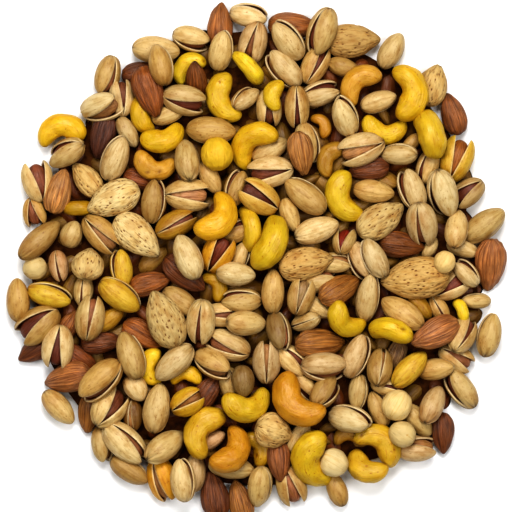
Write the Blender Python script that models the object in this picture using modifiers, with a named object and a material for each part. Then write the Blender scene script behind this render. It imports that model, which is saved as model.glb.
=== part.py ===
"""A heap of mixed nuts, in their shells and out of them, spread in a round on a flat surface.

Every nut that shows from above is laid where it lies in the round and settles on what is below it.
All of them are fused to a low core, so that the heap is one solid with an uneven outline.
"""

import itertools
import math
from typing import NamedTuple

import bmesh
import bpy
import numpy as np
from mathutils import Matrix, Vector

MM = 0.001
NO_LENGTH = 0.01 * MM

# The core: a low dome with a flat base, hidden below the nuts. It reaches out to just short of
# the middles of the outermost nuts, and nuts are pressed a little way into it.
CORE_HEIGHT = 12 * MM
CORE_RIM = 2.5 * MM
CORE_INSET = 2 * MM
CORE_SINK = 3 * MM
CORE_STEPS = 28
CORE_RINGS = 2

# How far a nut may move so that it isn't laid into its neighbours, how many times they push, and
# by what share of their overlap.
EASE_MOST = 2.5 * MM
EASE_ROUNDS = 30
EASE_SHARE = 0.25

# How a nut settles: the grid of the height map, the steepest slope that a nut lies at and how many
# are tried, the places of the balls that stand for it along its middle line, how small a ball may
# be, how far it gives way at the side, and how far it keeps off the surface below.
CELL = 1 * MM
MAP_HALF = 140 * MM
STEEPEST = 0.55
SLOPES = 45
BEAD_PLACES = (-0.6, -0.3, 0.0, 0.3, 0.6)
LEAST_BALL = 0.1
SQUEEZE = 0.3 * MM
FLOOR_GAP = 0.2 * MM
# It then sinks by the first of these that brings so many cells of it this deep into the others.
NESTLE = tuple(step * MM for step in (0.3, 0.8, 1.3, 1.8, 2.3, 2.8))
GRIP_DEPTH = 1 * MM
GRIP_CELLS = 40

# Width and thickness of each kind of nut, as shares of its length.
SHARES = {
    "pistachio": (0.57, 0.57),
    "almond": (0.58, 0.38),
    "shell_almond": (0.60, 0.46),
    "hazelnut": (0.95, 0.88),
    "cashew": (0.47, 0.42),
}
# How each kind tapers: its width at the blunt end and at the other, as shares of the full width.
TAPERS = {
    "pistachio": (1.08, 0.86),
    "almond": (1.20, 0.70),
    "shell_almond": (1.15, 0.75),
    "hazelnut": (1.05, 0.95),
    "cashew": (0.86, 1.12),
}
# The nuts that are stouter or slimmer than their kind, by their place in the lists below, and how
# many times as wide as the others they are.
STOUT = {
    (-84, -1): 1.5, (9, -84.5): 1.5, (88, 87): 1.2, (-92.5, 14): 1.4, (-6.5, -59.5): 1.35,
    (-60.5, -64.5): 1.35, (-36, -70): 1.2, (-10, -6): 1.15, (-108.5, 11): 0.85, (56, -17.5): 0.85,
    (-103.5, -16.5): 0.9, (102, -63): 0.9, (87, 66): 1.2, (7.5, 9.5): 1.1, (-46.5, 63): 1.1,
    (10, 83): 1.35, (56, -102): 1.15, (-1.5, 58.5): 0.85, (-3.5, 17): 0.82, (-4, 97.5): 0.87,
    (64.5, 67): 0.9,
}
# A cashew bends round this arc, at this share of its length, about this share of its bend.
CASHEW_ARC = math.radians(190)
CASHEW_BEND = 0.33
CASHEW_MIDDLE = 0.6

# A pistachio's slit: its depth as a share of the radius where it is shut, the most that it can be,
# how sharply it falls away, and how strongly the corners of a section crowd towards it.
SLIT = 0.15
DEEPEST_SLIT = 0.6
SLIT_SHARPNESS = 6
CROWDING = 0.25

# The sides round a faceted nut's long axis and the bands along it, for each layer from the bottom.
FACETS = ((5, 3), (5, 3), (6, 3), (6, 3))

# The colour and roughness of the fused heap.
TAN = (0.60, 0.42, 0.20)
SATIN = 0.5

# The nuts, as they lie seen from above. Lengths and places are in millimetres: x runs to the right
# and y to the back, from the middle of the heap. The heading is the way that the open tip, the
# pointed end or the thick end points, in degrees anticlockwise from the right. The layer is 0 at
# the bottom. Pistachios are (x, y, heading, roll, gape, length, layer): the roll turns the slit
# from the top to the right-hand side, and the gape is the angle between the two shells.
PISTACHIOS = (
    (-74.5, 93.5, -104, -35, 12, 20, 1), (-77.5, 77.5, 14, 50, 25, 22, 2),
    (-65.5, 83, 93, 10, 14, 19, 0), (-50, 106.5, -5, 90, 4, 24, 0), (-47.5, 98.5, 102, 70, 8, 21.5, 2),
    (-32.5, 112, -18, 50, 18, 19, 1), (-17.5, 106, 79, 75, 8, 21, 2), (-3.5, 124, -8, -60, 18, 19, 0),
    (-1.5, 110, -106, 8, 14, 22, 1), (-36, 81, -14, 25, 18, 22, 2), (-45, 73.5, 20, 90, 5, 18, 0),
    (-5.5, 82, 40, -55, 16, 16.5, 2), (16, 111, 124, 58, 9, 23, 2), (33, 115.5, -110, 45, 12, 24, 2),
    (14, 96.5, 133, -58, 14, 23, 1), (29.5, 99, 62, 15, 12, 21, 1), (32, 84.5, 18, -40, 16, 20, 0),
    (20.5, 77.5, -88, 0, 9, 21, 2), (6.5, 77, -88, 0, 16, 19, 0), (44.5, 73, 109, 65, 9, 22.5, 2),
    (44.5, 97.5, -20, 90, 3, 17, 0), (61.5, 80.5, 18, 80, 6, 19, 2), (68, 106, 60, 75, 5, 20, 2),
    (-95, 55, 204, 50, 20, 21, 1), (-109.5, 40.5, 101, 18, 26, 21, 0), (-111.5, 25, -78, 15, 30, 15, 1),
    (-108.5, 11, 43, 90, 3, 27, 1), (-92.5, 14, 70, 90, 0, 14, 0), (-77.5, 14, -45, 5, 14, 23, 1),
    (-70.5, 52, 70, -72, 7, 24, 2), (-63.5, 65.5, -60, 90, 3, 17, 0), (-34.5, 51, 98, 80, 4, 23, 1),
    (-22, 66, -5, 80, 5, 25, 1), (-23, 42, -60, 90, 3, 18, 0), (-34, 33.5, -2, 0, 20, 23, 2),
    (-51, 30.5, 82, 55, 10, 22, 1), (-10, 15.5, 25, -40, 14, 18, 0), (-10, 37, 75, -50, 14, 19, 0),
    (26.5, 59.5, -75, -60, 10, 21, 0), (7, 56, 30, 90, 0, 20, 0), (7, 45, 189, -8, 18, 23, 2),
    (26, 33.5, 141, 72, 6, 25, 2), (17, 23.5, -70, 90, 0, 18, 0), (52.5, 56.5, 198, -8, 18, 23.5, 2),
    (59, 35.5, -8, 88, 2, 21, 1), (30.5, 16, 18, 90, 0, 23, 1), (44, 10.5, 75, -20, 30, 15, 1),
    (71.5, 54, 178, 60, 6, 19, 1), (78, 59.5, 50, 90, 0, 13, 0), (86, 48, -110, 35, 10, 18, 0),
    (93.5, 34.5, -76, 58, 14, 25, 2), (78, 36, 112, -55, 15, 22, 1), (106.5, 35, 215, 20, 25, 18, 0),
    (83, 19, -80, 20, 10, 24, 2), (87.5, 7, 60, 90, 0, 12, 0), (100.5, 16.5, 80, 70, 3, 21.5, 1),
    (114.5, 18, 37, 75, 4, 24, 0), (104.5, 7.5, -20, 90, 0, 17, 0), (-99, -2, -80, 10, 6, 16, 0),
    (-119.5, -19, 93, -78, 5, 22, 1), (-86.5, -14.5, -95, 10, 6, 16, 0),
    (-109, -31.5, 214, 28, 24, 24, 1), (-98.5, -44, -97, 2, 18, 22, 1), (-83, -28, 80, 3, 9, 23, 2),
    (-62.5, -46.5, 108, 70, 5, 25, 2), (-34, 2.5, 112, 74, 4, 24, 2), (-7.5, 3, 70, 60, 10, 15, 0),
    (-10, -6, -5, 85, 0, 20, 2), (-7.5, -19, 178, 45, 10, 20, 1), (-37.5, -20, -35, 90, 0, 21, 0),
    (-27.5, -30, -95, 10, 8, 23, 1), (-18, -26.5, 0, 0, 14, 18, 0), (-5, -30.5, -3, 80, 3, 22, 1),
    (-14, -42, 159, -20, 14, 23, 1), (-21.5, -50.5, -34, 48, 12, 22, 1),
    (-41, -50.5, 222, 88, 0, 24, 1), (-6.5, -59.5, -85, 90, 0, 16, 1), (8.5, -14.5, 88, 88, 0, 22, 2),
    (22.5, -17, 75, 0, 18, 19, 1), (31, -9, 15, -45, 14, 19, 0), (41, 0, 0, -40, 14, 17, 0),
    (59, 2.5, 118, -65, 8, 21, 2), (50, 0, -68, 60, 14, 20, 0), (56, -17.5, 80, 72, 6, 25, 2),
    (11.5, -34.5, -75, -45, 8, 21, 1), (25, -30.5, 200, 0, 3, 17, 1), (30, -22.5, -30, 90, 0, 18, 0),
    (5.5, -50, 90, 0, 8, 22.5, 2), (17.5, -50, -40, -30, 14, 20, 0), (34, -52.5, -5, 50, 20, 23, 2),
    (50.5, -47.5, 67, 58, 10, 23, 1), (62, -52.5, 80, 10, 6, 21, 1), (105.5, -5.5, 130, 55, 18, 16, 1),
    (97, -13, 35, 0, 24, 19, 0), (110.5, -19.5, 180, 60, 0, 15, 1), (92.5, -22.5, -60, 0, 6, 15, 0),
    (73, -25.5, 147, -80, 6, 25, 1), (103.5, -36.5, 60, 20, 12, 21, 1), (117, -36.5, 78, -72, 8, 22, 1),
    (100.5, -48, -30, -10, 18, 19, 0), (91, -54.5, 8, 88, 0, 20, 1), (-99, -73, -48, 88, 0, 21, 1),
    (-77.5, -59.5, 225, -48, 12, 26, 2), (-72.5, -74, 55, 22, 24, 23, 2),
    (-77, -91.5, -80, -50, 14, 18, 0), (-63.5, -89.5, -42, -35, 10, 26, 2),
    (-63.5, -104.5, -33, -70, 2, 22, 1), (-60.5, -64.5, -60, 90, 0, 15, 0),
    (-61, -75, -90, 20, 10, 16, 0), (-48, -73, 80, 88, 0, 25, 1), (-14, -61.5, -70, -30, 14, 18, 0),
    (-22, -89.5, 30, 80, 0, 15, 0), (-43.5, -92, 36, 85, 0, 24, 2), (-36.5, -109, 95, 55, 9, 22, 1),
    (-29.5, -106, 85, 90, 0, 20, 0), (-12.5, -103, -10, 90, 0, 23, 0), (34.5, -65, 50, 50, 20, 20, 1),
    (51, -65, -95, -50, 4, 18, 1), (47, -78.5, -13, -62, 8, 23.5, 2), (62, -73, 110, 60, 10, 19, 0),
    (40.5, -114, 110, 85, 0, 18, 0), (17.5, -112, -72, 0, 20, 21, 0), (2, -112.5, -95, -65, 8, 22, 1),
    (21.5, -87.5, 60, 90, 0, 18, 0), (24.5, -61.5, -50, 30, 12, 17, 0), (102, -63, 128, -55, 16, 22, 1),
    (88.5, -71.5, 65, 88, 0, 22, 2), (81.5, -79.5, -50, 90, 0, 20, 0), (80.5, -93.5, 5, -40, 20, 20, 0),
    (66, -62.5, -10, 0, 10, 18, 0),
)

# Pistachios whose shells are dyed yellow, told in the same way.
YELLOW_PISTACHIOS = (
    (-40, 19, 27, 0, 8, 22, 1), (-19, 4.5, 62, 0, 20, 22, 1), (100.5, 52, 72, 0, 20, 23, 1),
    (-67.5, -3, 100, -55, 12, 19, 0), (-103.5, -16.5, -14, -60, 10, 23, 1),
    (-68, -16.5, -35, -65, 8, 24, 2), (-73, -29, 40, 90, 0, 17, 0), (77, -53.5, 45, 88, 0, 23, 3),
    (-36, -70, 30, 0, 14, 18, 1), (-47, -109, -74, 30, 12, 23, 0), (82.5, -22, -50, 90, 0, 17, 0),
    (1.5, 32.5, 146, 8, 14, 24, 1),
)

# Almonds out of their shells: (x, y, heading, length, layer).
ALMONDS = (
    (-58, 94.5, 10, 20, 0), (-18, 119, 88, 23, 1), (-28.5, 91, 95, 20, 1), (-53.5, 85, -72, 27, 1),
    (18.5, 118.5, 0, 25, 0), (99, 74.5, 108, 22, 0), (-77, 63, -105, 23, 1), (-99, 35.5, 75, 23.5, 1),
    (-58, 41, -20, 18, 0), (22.5, 54, -80, 23, 1), (56.5, 46.5, 190, 21, 1), (73, 8.5, -8, 24, 1),
    (117.5, -1.5, -94, 28, 1), (-110, -43.5, 212, 22, 0), (-94, -32, 60, 18, 0),
    (-78.5, -41.5, 5, 21, 0), (-87, -47.5, -35, 22, 0), (-95.5, -56.5, 195, 27, 1),
    (-36.5, -6.5, -40, 26, 0), (-52, -10, 15, 22, 0), (-56.5, -37.5, -30, 23, 0),
    (42, -13.5, 28, 25, 1), (32, -40, 2, 27, 1), (89, -35.5, 205, 27, 2), (71, -45, 70, 18, 0),
    (-84, -76.5, -95, 20, 0), (-23, -64.5, 55, 22, 0), (-20.5, -116, 100, 25, 0),
    (-9.5, -120, 105, 22, 0), (11.5, -99.5, -85, 22, 1), (93.5, -86, -88, 21, 0),
)

# Almonds in their shells, told in the same way.
SHELL_ALMONDS = (
    (48.5, 111, 3, 28, 1), (88, 87, 72, 22, 1), (-85, 41.5, 130, 21, 1), (-71.5, 31.5, 203, 28.5, 2),
    (-59.5, 13, -42, 29, 2), (62.5, 20.5, 33, 28, 2), (-84, -1, 80, 18, 1), (24, 0, 12, 28, 2),
    (-45.5, -28.5, 113, 31, 2), (79.5, -8, 187, 35, 2), (9, -84.5, -20, 20, 3),
)

# Cashews: (x, y, heading, roll, length, layer). The hollow side is on the right of the
# heading, and the roll turns the back up.
CASHEWS = (
    (-98, 65, 10, 0, 26, 0), (-4, 97.5, -48, 80, 23, 2), (-34, 97, 40, 0, 20, 0),
    (-56.5, 75, 90, 30, 23, 0), (-46.5, 63, 197, 30, 23, 2), (-17, 82, 105, 0, 27, 1),
    (10, 83, 80, 0, 15, 3), (52, 88.5, 45, 0, 25, 1), (32.5, 68.5, -60, 0, 14, 0),
    (75.5, 85, -85, 0, 30, 2), (87, 66, -70, 75, 27, 1), (64.5, 67, 172, 0, 25, 1),
    (-89.5, 27, 0, 90, 18, 0), (-50.5, 49, 165, 0, 23, 1), (-1.5, 58.5, 45, 0, 31, 2),
    (-20, 23, -123, 10, 29, 2), (-3.5, 17, -80, 60, 26, 1), (7.5, 9.5, -112, 60, 30, 2),
    (43.5, 32, 108, 0, 28, 2), (37, 51.5, 60, 0, 20, 0), (-21, -12, -60, 0, 17, 0),
    (-52.5, -52, 90, 0, 20, 0), (-35, -58, 0, 0, 17, 0), (45.5, -28.5, 140, 0, 24, 2),
    (67, -35, -8, 60, 25, 2), (102.5, -24, -65, 60, 14, 2), (-5, -71, 188, 0, 28, 2),
    (-28, -85, 62, 0, 29, 2), (-13, -93.5, -122, 0, 28, 2), (0, -93.5, -60, 0, 20, 0),
    (20.5, -69, 133, 0, 33, 2), (29.5, -99, 98, 0, 33, 2), (47, -88, 0, 0, 18, 0),
    (61, -91.5, -38, 0, 28, 1), (56, -102, 152, 20, 23, 2),
)

# Blanched hazelnuts: (x, y, heading, length, layer).
HAZELNUTS = (
    (-111, -3, 200, 12.5, 0), (94, 0, 240, 11.5, 3), (70.5, -71.5, 60, 16, 3), (39, -100.5, 330, 15, 3),
    (-19.5, 54, 100, 17, 3), (73, -86, 150, 14, 2),
)


class Nut(NamedTuple):
    """A nut and how it lies, seen from above, in metres and radians."""

    kind: str
    x: float
    y: float
    heading: float
    roll: float
    gape: float
    length: float
    layer: int
    stout: float


def laid(kind, x, y, heading, roll, gape, length, layer):
    """The nut that a row of the lists above tells of."""
    angles = [math.radians(angle) for angle in (heading, roll, gape)]
    return Nut(kind, x * MM, y * MM, *angles, length * MM, layer, STOUT.get((x, y), 1.0))


def all_nuts():
    """Every nut of the heap, the lowest layer first."""
    nuts = [laid("pistachio", *row) for row in PISTACHIOS + YELLOW_PISTACHIOS]
    for kind, rows in (("almond", ALMONDS), ("shell_almond", SHELL_ALMONDS), ("hazelnut", HAZELNUTS)):
        nuts += [laid(kind, x, y, heading, 0, 0, *rest) for x, y, heading, *rest in rows]
    nuts += [laid("cashew", x, y, heading, roll, 0, *rest) for x, y, heading, roll, *rest in CASHEWS]
    return sorted(nuts, key=lambda nut: nut.layer)


def core_reach(nuts):
    """How far the core reaches in each direction: nearly to the middle of the outermost nut there."""
    step = math.tau / CORE_STEPS
    reach = []
    for number in range(CORE_STEPS):
        near = [
            math.hypot(nut.x, nut.y)
            for nut in nuts
            if math.cos(math.atan2(nut.y, nut.x) - number * step) > math.cos(step)
        ]
        reach.append(max(near) - CORE_INSET)
    return reach


def core_top(share):
    """Height of the core's top at this share of the way from its middle to its rim."""
    return CORE_RIM + (CORE_HEIGHT - CORE_RIM) * (1 - share**2)


def taper(kind, x):
    """How wide the nut would be at x, from -1 at its blunt end to 1 at the other, were it not rounded."""
    blunt, sharp = TAPERS[kind]
    return blunt + (sharp - blunt) * (x + 1) / 2


def girth(kind, x):
    """Half the nut's width at x as a share of the most. A cashew is fuller towards its ends."""
    power = 3 if kind == "cashew" else 2
    return taper(kind, x) * math.sqrt(max(0.0, 1 - abs(x) ** power))


def ball_size(kind, x):
    """Radius of the ball that just fits into the nut at x, as a share of half its width."""
    if kind == "cashew":
        return girth(kind, x)
    room = 1 - SHARES[kind][0] ** 2
    return taper(kind, x) * math.sqrt(max(LEAST_BALL, 1 - x * x / room))


def middle_line(nut, x, outward=0.0):
    """Along and to the left: a point of the nut's middle line, or this far outside a cashew's bend."""
    if nut.kind != "cashew":
        return x * nut.length / 2, outward
    bend = CASHEW_BEND * nut.length
    turn = x * CASHEW_ARC / 2
    return (bend + outward) * math.sin(turn), (bend + outward) * math.cos(turn) - bend * CASHEW_MIDDLE


def beads(nut):
    """Balls that fill the nut: (along its heading, to its left, up, half width, half thickness)."""
    width, thickness = (share * nut.stout * nut.length / 2 for share in SHARES[nut.kind])
    row = []
    for x in BEAD_PLACES:
        along, side = middle_line(nut, x)
        left, up = side * math.cos(nut.roll), side * math.sin(nut.roll)
        size = ball_size(nut.kind, x)
        row.append((along, left, up, width * size - SQUEEZE, thickness * size))
    return row


def spots(nut):
    """The nut's balls where it lies: (x, y, along its heading, up, half width, half thickness)."""
    ahead, aside = math.cos(nut.heading), math.sin(nut.heading)
    return [
        (nut.x + along * ahead - left * aside, nut.y + along * aside + left * ahead, along, up, half, thick)
        for along, left, up, half, thick in beads(nut)
    ]


def eased(nuts):
    """The nuts, moved a little apart where two of one layer were laid into each other."""
    balls = [np.array(spots(nut)) for nut in nuts]
    pairs = [
        (one, two)
        for one, two in itertools.combinations(range(len(nuts)), 2)
        if nuts[one].layer == nuts[two].layer
        and math.hypot(nuts[one].x - nuts[two].x, nuts[one].y - nuts[two].y)
        < (nuts[one].length + nuts[two].length) / 2 + 2 * EASE_MOST
    ]
    moves = np.zeros((len(nuts), 2))
    for _ in range(EASE_ROUNDS):
        for one, two in pairs:
            first, second = balls[one], balls[two]
            apart = (first[:, None, :2] + moves[one]) - (second[None, :, :2] + moves[two])
            distance = np.maximum(np.hypot(apart[..., 0], apart[..., 1]), NO_LENGTH)
            overlap = first[:, None, 4] + second[None, :, 4] - distance
            worst = np.unravel_index(overlap.argmax(), overlap.shape)
            if overlap[worst] > 0:
                push = apart[worst] / distance[worst] * overlap[worst] * EASE_SHARE
                moves[one] += push
                moves[two] -= push
        far = np.maximum(np.hypot(moves[:, 0], moves[:, 1]) / EASE_MOST, 1)
        moves /= far[:, None]
    return [nut._replace(x=nut.x + move[0], y=nut.y + move[1]) for nut, move in zip(nuts, moves.tolist())]


class HeightMap:
    """The top of what is laid so far, on a grid of cells."""

    def __init__(self, reach):
        edge = np.arange(-MAP_HALF, MAP_HALF, CELL) + CELL / 2
        self.x, self.y = np.meshgrid(edge, edge, indexing="ij")
        directions = np.arange(CORE_STEPS) * math.tau / CORE_STEPS
        rim = np.interp(np.arctan2(self.y, self.x), directions, reach, period=math.tau)
        share = np.hypot(self.x, self.y) / rim
        self.solid = np.where(share < 1, core_top(share), 0.0)
        self.top = np.maximum(self.solid - CORE_SINK, 0.0)

    def patch(self, x, y, half):
        """The cells round a ball's middle, and the share of its height that stands over each."""
        low = [int((v - half + MAP_HALF) / CELL) for v in (x, y)]
        high = [int((v + half + MAP_HALF) / CELL) + 1 for v in (x, y)]
        cells = (slice(low[0], high[0]), slice(low[1], high[1]))
        away = ((self.x[cells] - x) ** 2 + (self.y[cells] - y) ** 2) / half**2
        return cells, np.sqrt(np.clip(1 - away, 0, None))

    def height_needed(self, x, y, half, thick):
        """The lowest that a ball's middle can be here."""
        cells, share = self.patch(x, y, half)
        top = self.top[cells]
        over = np.where((share > 0) & (top > 0), top + thick * share, 0)
        return max(float(over.max()), thick + FLOOR_GAP)

    def grip(self, balls, z, slope):
        """The number of cells where the nut's underside is well below the top of the others."""
        count = 0
        for x, y, along, up, half, thick in balls:
            cells, share = self.patch(x, y, half)
            under = z + slope * along + up - thick * share
            count += np.count_nonzero((share > 0) & (self.solid[cells] - under > GRIP_DEPTH))
        return count

    def cover(self, balls, z, slope):
        """Raises the cells under a nut's balls to their top."""
        for x, y, along, up, half, thick in balls:
            cells, share = self.patch(x, y, half)
            height = np.where(share > 0, z + slope * along + up + thick * share, 0)
            self.solid[cells] = np.maximum(self.solid[cells], height)
            self.top[cells] = np.maximum(self.top[cells], height)


def settled(nuts, reach):
    """Each nut with the height of its middle and its slope, where it comes to rest at its lowest."""
    ground = HeightMap(reach)
    slopes = np.linspace(-STEEPEST, STEEPEST, SLOPES)
    placed = []
    for nut in nuts:
        balls = spots(nut)
        needed = [ground.height_needed(x, y, half, thick) - up for x, y, _, up, half, thick in balls]
        heights = [max(need - slope * ball[2] for need, ball in zip(needed, balls)) for slope in slopes]
        z, _, slope = min((height, abs(slope), slope) for height, slope in zip(heights, slopes))
        floor = max(thick + FLOOR_GAP - up - slope * along for _, _, along, up, _, thick in balls)
        for sink in NESTLE:
            if ground.grip(balls, max(z - sink, floor), slope) > GRIP_CELLS:
                break
        z = max(z - sink, floor)
        ground.cover(balls, z, slope)
        placed.append((nut, z, slope))
    return placed


def lie(nut, height, slope):
    """The placing of a nut, whose own +X is its heading and whose own +Z is its slit or its top."""
    return (
        Matrix.Translation((nut.x, nut.y, height))
        @ Matrix.Rotation(nut.heading, 4, "Z")
        @ Matrix.Rotation(-math.atan(slope), 4, "Y")
        @ Matrix.Rotation(nut.roll, 4, "X")
    )


def section_point(nut, x, round_turn, swell):
    """A point of the nut's surface in its own frame, at x along it and this far round from its top."""
    half = nut.stout * swell * nut.length / 2 * girth(nut.kind, x)
    width, thickness = (share * half for share in SHARES[nut.kind])
    if nut.kind == "pistachio":
        # The corners crowd to the slit, whose bottom is at the top and which has a lip on either side.
        at_slit = max(0.0, math.cos(round_turn)) ** SLIT_SHARPNESS
        depth = 1 - at_slit * min(DEEPEST_SLIT, SLIT + nut.gape * (x + 1))
        width *= depth + nut.gape / 2 * (x + 1)
        thickness *= depth
        round_turn -= CROWDING * math.sin(round_turn) * (1 + math.cos(round_turn))
    along, left = middle_line(nut, x, width * math.sin(round_turn))
    return Vector((along, left, thickness * math.cos(round_turn)))


def nut_mesh(name, nut, height, slope):
    """A faceted nut where it lies: a ball whose poles are its ends, pushed into the nut's shape."""
    place = lie(nut, height, slope)
    sides, bands = FACETS[nut.layer]
    if nut.kind == "cashew":
        bands += 1
    # A section of few sides is drawn this much larger, so that it has the round one's area.
    swell = math.sqrt(math.tau / sides / math.sin(math.tau / sides))
    shape = bmesh.new()
    bmesh.ops.create_uvsphere(shape, u_segments=sides, v_segments=bands, radius=1)
    for corner in shape.verts:
        x = max(-1.0, min(1.0, corner.co.z))
        corner.co = place @ section_point(nut, x, math.atan2(corner.co.y, corner.co.x), swell)
        corner.co.z = max(corner.co.z, FLOOR_GAP)
    bmesh.ops.triangulate(shape, faces=shape.faces)
    bmesh.ops.recalc_face_normals(shape, faces=shape.faces)
    mesh = bpy.data.meshes.new(name)
    shape.to_mesh(mesh)
    shape.free()
    return mesh


def applied(thing):
    """The object, with its evaluated mesh in place of its mesh and modifiers."""
    bpy.context.view_layer.update()
    graph = bpy.context.evaluated_depsgraph_get()
    mesh = bpy.data.meshes.new_from_object(thing.evaluated_get(graph))
    thing.modifiers.clear()
    thing.data = mesh
    return thing


def add_core(name, reach, collection):
    """The core: turned from its profile at a radius of 1, then drawn out to its reach."""
    shares = [ring / CORE_RINGS for ring in range(CORE_RINGS + 1)]
    outline = [(share, core_top(share)) for share in shares] + [(1, 0), (0, 0)]
    shape = bmesh.new()
    corners = [shape.verts.new((radius, 0, z)) for radius, z in outline]
    for upper, lower in zip(corners, corners[1:]):
        shape.edges.new((upper, lower))
    mesh = bpy.data.meshes.new(name)
    shape.to_mesh(mesh)
    shape.free()
    core = bpy.data.objects.new(name, mesh)
    collection.objects.link(core)
    turn = core.modifiers.new("turn", "SCREW")
    turn.steps = turn.render_steps = CORE_STEPS
    turn.use_merge_vertices = True
    turn.merge_threshold = NO_LENGTH
    applied(core)
    for corner in core.data.vertices:
        direction = math.atan2(corner.co.y, corner.co.x)
        step = round(direction / math.tau * CORE_STEPS) % CORE_STEPS
        corner.co.x *= reach[step]
        corner.co.y *= reach[step]
    return core


def connected(start):
    """Every corner that edges join to this one."""
    shell, front = {start}, [start]
    while front:
        corner = front.pop()
        others = {edge.other_vert(corner) for edge in corner.link_edges} - shell
        shell |= others
        front += others
    return shell


def keep_outer_shell(mesh):
    """Leaves only the largest closed surface: sealed hollows are filled and loose scraps dropped."""
    shape = bmesh.new()
    shape.from_mesh(mesh)
    outer, left = set(), set(shape.verts)
    while left:
        shell = connected(next(iter(left)))
        left -= shell
        outer = max(outer, shell, key=len)
    spare = [corner for corner in shape.verts if corner not in outer]
    bmesh.ops.delete(shape, geom=spare, context="VERTS")
    shape.to_mesh(mesh)
    shape.free()


def nut_material():
    """A plain tan for the fused heap."""
    material = bpy.data.materials.new("mixed_nuts")
    material.use_nodes = True
    shader = material.node_tree.nodes["Principled BSDF"]
    shader.inputs["Base Color"].default_value = (*TAN, 1)
    shader.inputs["Roughness"].default_value = SATIN
    shader.inputs["Metallic"].default_value = 0
    return material


def main():
    for thing in list(bpy.data.objects):
        bpy.data.objects.remove(thing)
    parts = bpy.data.collections.new("mixed_nut_heap")
    loose = bpy.data.collections.new("nuts_to_join")
    for collection in (parts, loose):
        bpy.context.scene.collection.children.link(collection)

    nuts = eased(all_nuts())
    reach = core_reach(nuts)
    for number, (nut, height, slope) in enumerate(settled(nuts, reach)):
        name = f"{nut.kind}_{number}"
        loose.objects.link(bpy.data.objects.new(name, nut_mesh(name, nut, height, slope)))

    heap = add_core("nut_heap", reach, parts)
    join = heap.modifiers.new("join", "BOOLEAN")
    join.operation = "UNION"
    join.operand_type = "COLLECTION"
    join.collection = loose
    join.solver = "EXACT"
    applied(heap)
    for thing in list(loose.objects):
        bpy.data.objects.remove(thing)
    bpy.data.collections.remove(loose)
    keep_outer_shell(heap.data)
    heap.data.materials.clear()
    heap.data.materials.append(nut_material())


main()
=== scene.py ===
"""A heap of mixed nuts on a white floor, seen from straight above.

Every nut lies and settles by the same rules as in the CAD source. Each kind is one piece: the split
shells of the pistachios and the kernels in them, almonds, almonds in their shells, cashews and
blanched hazelnuts, over a dark core with the nuts that only show in the gaps. The core's dark brown
and the darker tones of the nuts in the gaps are painted shade.
"""

import itertools
import math
import random
from typing import NamedTuple

import bmesh
import bpy
import numpy as np
from mathutils import Matrix, Vector, noise


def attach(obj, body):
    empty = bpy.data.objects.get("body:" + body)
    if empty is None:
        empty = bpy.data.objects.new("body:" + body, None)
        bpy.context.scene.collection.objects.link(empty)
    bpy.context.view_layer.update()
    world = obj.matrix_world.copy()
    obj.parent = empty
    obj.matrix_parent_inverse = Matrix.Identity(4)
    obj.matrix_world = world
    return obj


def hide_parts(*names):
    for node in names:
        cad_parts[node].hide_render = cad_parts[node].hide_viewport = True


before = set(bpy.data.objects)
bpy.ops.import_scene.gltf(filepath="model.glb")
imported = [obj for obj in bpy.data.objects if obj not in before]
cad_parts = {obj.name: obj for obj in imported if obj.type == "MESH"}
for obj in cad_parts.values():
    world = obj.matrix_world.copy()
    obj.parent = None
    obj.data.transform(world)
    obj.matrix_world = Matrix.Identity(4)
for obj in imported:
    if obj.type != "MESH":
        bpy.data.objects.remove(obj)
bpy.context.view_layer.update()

MM = 0.001
NO_LENGTH = 0.01 * MM

# The core: a low dome with a flat base, hidden below the nuts. It reaches out to just short of
# the middles of the outermost nuts, and nuts are pressed a little way into it.
CORE_HEIGHT = 12 * MM
CORE_RIM = 2.5 * MM
CORE_INSET = 2 * MM
CORE_SINK = 3 * MM
CORE_STEPS = 28

# How far a nut may move so that it isn't laid into its neighbours, how many times they push, and
# by what share of their overlap.
EASE_MOST = 2.5 * MM
EASE_ROUNDS = 30
EASE_SHARE = 0.25

# How a nut settles: the grid of the height map, the steepest slope that a nut lies at and how many
# are tried, the places of the balls that stand for it along its middle line, how small a ball may
# be, how far it gives way at the side, and how far it keeps off the surface below.
CELL = 1 * MM
MAP_HALF = 140 * MM
STEEPEST = 0.55
SLOPES = 45
BEAD_PLACES = (-0.6, -0.3, 0.0, 0.3, 0.6)
LEAST_BALL = 0.1
SQUEEZE = 0.3 * MM
FLOOR_GAP = 0.2 * MM
# It then sinks by the first of these that brings so many cells of it this deep into the others.
NESTLE = tuple(step * MM for step in (0.3, 0.8, 1.3, 1.8, 2.3, 2.8))
GRIP_DEPTH = 1 * MM
GRIP_CELLS = 40

# Width and thickness of each kind of nut, as shares of its length.
SHARES = {
    "pistachio": (0.57, 0.57),
    "almond": (0.58, 0.38),
    "shell_almond": (0.60, 0.46),
    "hazelnut": (0.95, 0.88),
    "cashew": (0.47, 0.42),
}
# How each kind tapers: its width at the blunt end and at the other, as shares of the full width.
TAPERS = {
    "pistachio": (1.08, 0.86),
    "almond": (1.20, 0.70),
    "shell_almond": (1.15, 0.75),
    "hazelnut": (1.05, 0.95),
    "cashew": (0.86, 1.12),
}
# The nuts that are stouter or slimmer than their kind, by their place in the lists below, and how
# many times as wide as the others they are.
STOUT = {
    (-84, -1): 1.5, (9, -84.5): 1.5, (88, 87): 1.2, (-92.5, 14): 1.4, (-6.5, -59.5): 1.35,
    (-60.5, -64.5): 1.35, (-36, -70): 1.2, (-10, -6): 1.15, (-108.5, 11): 0.85, (56, -17.5): 0.85,
    (-103.5, -16.5): 0.9, (102, -63): 0.9, (87, 66): 1.2, (7.5, 9.5): 1.1, (-46.5, 63): 1.1,
    (10, 83): 1.35, (56, -102): 1.15, (-1.5, 58.5): 0.85, (-3.5, 17): 0.82, (-4, 97.5): 0.87,
    (64.5, 67): 0.9,
}
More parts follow.
